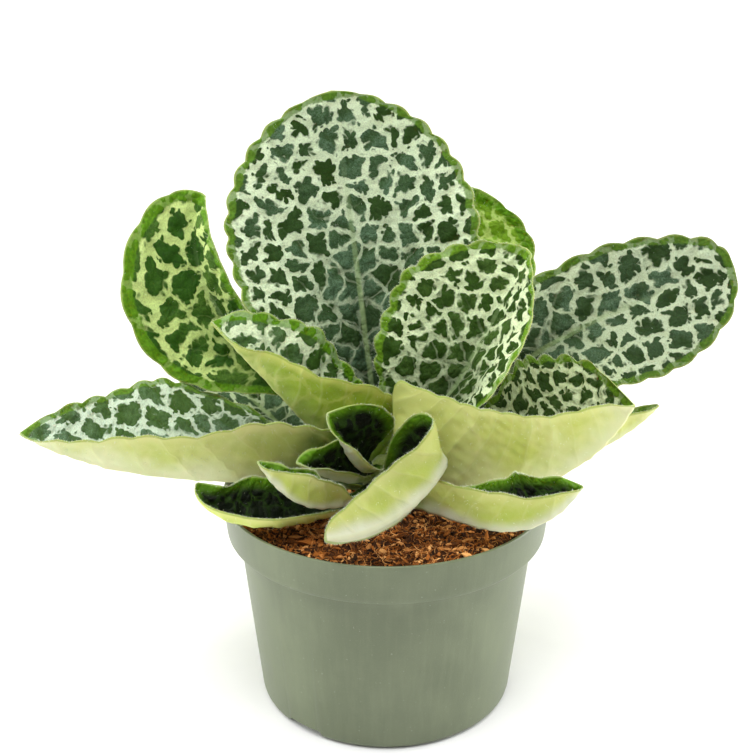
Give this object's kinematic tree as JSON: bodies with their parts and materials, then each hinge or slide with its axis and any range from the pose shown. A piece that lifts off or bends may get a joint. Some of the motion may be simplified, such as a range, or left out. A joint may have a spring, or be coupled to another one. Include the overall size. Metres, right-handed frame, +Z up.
{
  "type": "potted streptocarpus",
  "caption": "Potted foliage plant: broad silver-patterned leaves in an upright rosette, growing from a short crown in soil in a round plastic nursery pot.",
  "frame": {"origin": "centre of the pot's flat base, on the surface it stands on", "axes": "+Z up along the pot's axis; -Y is the front, the side the picture is taken from; +X is to the right seen from the front"},
  "size_m": [0.2544, 0.1776, 0.2191],
  "materials": {
    "pot_plastic": "matt sage green moulded plastic",
    "potting_soil": null,
    "crown_stem": null,
    "leaf_green": null
  },
  "bodies": {
    "root": {"pot": "pot_plastic", "soil": "potting_soil", "crown": "crown_stem", "leaf_back_tall": "leaf_green", "leaf_left_upright": "leaf_green", "leaf_behind_right": "leaf_green", "leaf_right_spread": "leaf_green", "leaf_middle_right": "leaf_green", "leaf_front_right_folded": "leaf_green", "leaf_right_low": "leaf_green", "leaf_front_right_low": "leaf_green", "leaf_front_curled": "leaf_green", "leaf_front_cupped": "leaf_green", "leaf_front_left_small": "leaf_green", "leaf_front_left_low": "leaf_green", "leaf_left_spread": "leaf_green", "leaf_left_folded": "leaf_green", "leaf_left_inner": "leaf_green", "leaf_rear_left": "leaf_green", "leaf_rear_middle": "leaf_green", "leaf_rear_right": "leaf_green"}
  },
  "joints": []
}
